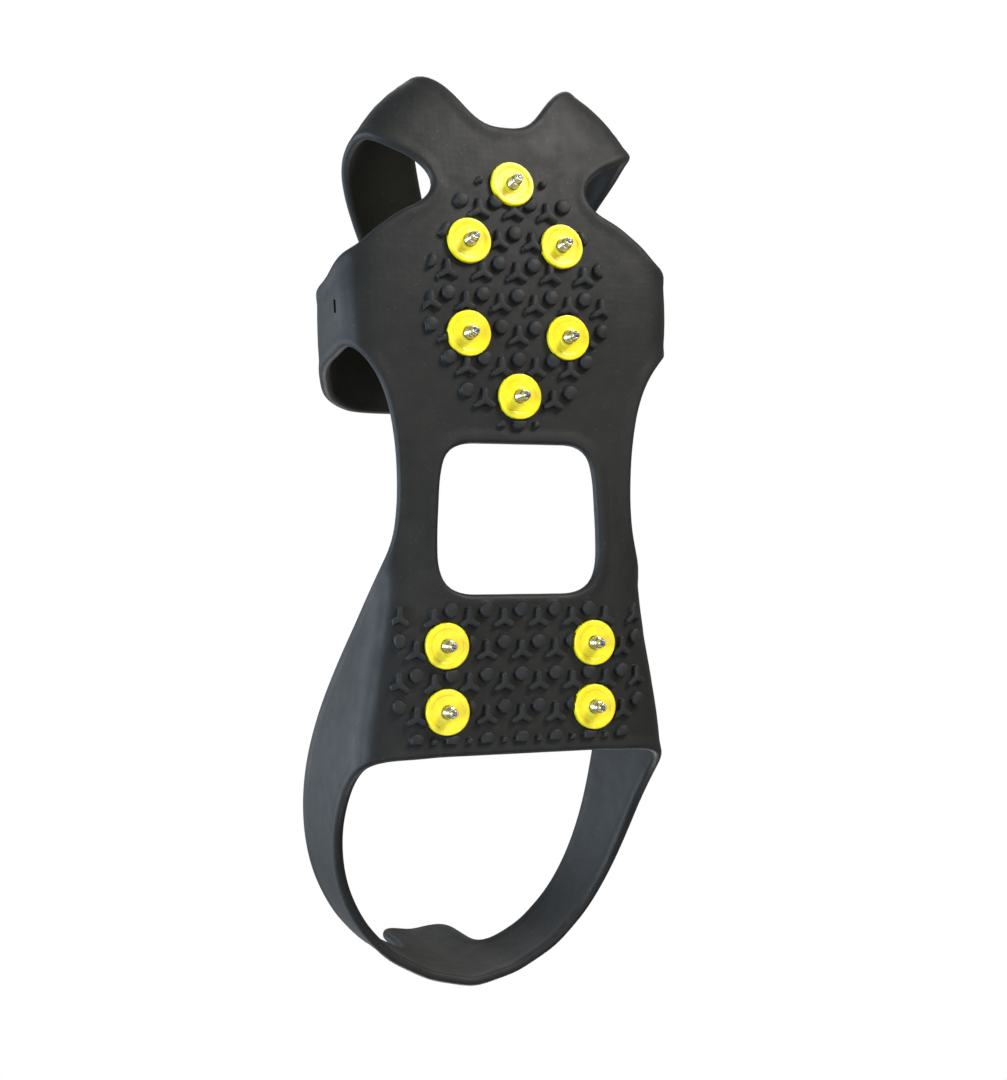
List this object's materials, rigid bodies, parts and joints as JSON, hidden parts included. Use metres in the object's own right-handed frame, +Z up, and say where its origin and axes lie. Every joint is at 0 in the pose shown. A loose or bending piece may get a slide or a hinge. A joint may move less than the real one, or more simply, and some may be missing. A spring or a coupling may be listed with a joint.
{
  "type": "shoe ice cleat",
  "caption": "Stretch-on shoe ice cleat: a rubber sole net with toe and heel straps, a pull tab, lug tread and steel traction studs in plastic plugs.",
  "frame": {"origin": "middle of the bounding box in X and Y, on the ground plane through the stud tips", "axes": "+Z up from the ground, -Y towards the toe, +X across"},
  "size_m": [0.1092, 0.283, 0.1082],
  "materials": {
    "black_rubber": "matt moulded elastomer with a soft sheen",
    "yellow_plastic": "satin moulded plastic",
    "stud_steel": "turned steel",
    "hard_tip": "dark sintered carbide"
  },
  "bodies": {
    "sole": {"sole_web": "black_rubber", "stud_plug_01": "yellow_plastic", "stud_plug_02": "yellow_plastic", "stud_plug_03": "yellow_plastic", "stud_plug_04": "yellow_plastic", "stud_plug_05": "yellow_plastic", "stud_plug_06": "yellow_plastic", "stud_plug_07": "yellow_plastic", "stud_plug_08": "yellow_plastic", "stud_plug_09": "yellow_plastic", "stud_plug_10": "yellow_plastic", "stud_pin_01": "stud_steel", "stud_pin_02": "stud_steel", "stud_pin_03": "stud_steel", "stud_pin_04": "stud_steel", "stud_pin_05": "stud_steel", "stud_pin_06": "stud_steel", "stud_pin_07": "stud_steel", "stud_pin_08": "stud_steel", "stud_pin_09": "stud_steel", "stud_pin_10": "stud_steel", "stud_tip_01": "hard_tip", "stud_tip_02": "hard_tip", "stud_tip_03": "hard_tip", "stud_tip_04": "hard_tip", "stud_tip_05": "hard_tip", "stud_tip_06": "hard_tip", "stud_tip_07": "hard_tip", "stud_tip_08": "hard_tip", "stud_tip_09": "hard_tip", "stud_tip_10": "hard_tip"},
    "toe_strap": {"toe_strap": "black_rubber"},
    "heel_strap": {"heel_strap": "black_rubber"},
    "pull_tab": {"pull_tab": "black_rubber"}
  },
  "joints": [
    {"name": "toe_strap_fold", "type": "hinge", "parent": "sole", "child": "toe_strap", "pos_m": [0, -0.14955, 0.014], "axis": [-1, 0, 0], "range_deg": [-4, 24], "stiffness_Nm_per_rad": 1.5},
    {"name": "heel_strap_swing", "type": "hinge", "parent": "sole", "child": "heel_strap", "pos_m": [0, 0.04045, 0.014], "axis": [1, 0, 0], "range_deg": [-45, 80], "stiffness_Nm_per_rad": 1},
    {"name": "pull_tab_bend", "type": "hinge", "parent": "heel_strap", "child": "pull_tab", "pos_m": [0, 0.13835, 0.0772], "axis": [-1, 0, 0], "range_deg": [-10, 85], "stiffness_Nm_per_rad": 0.02}
  ]
}
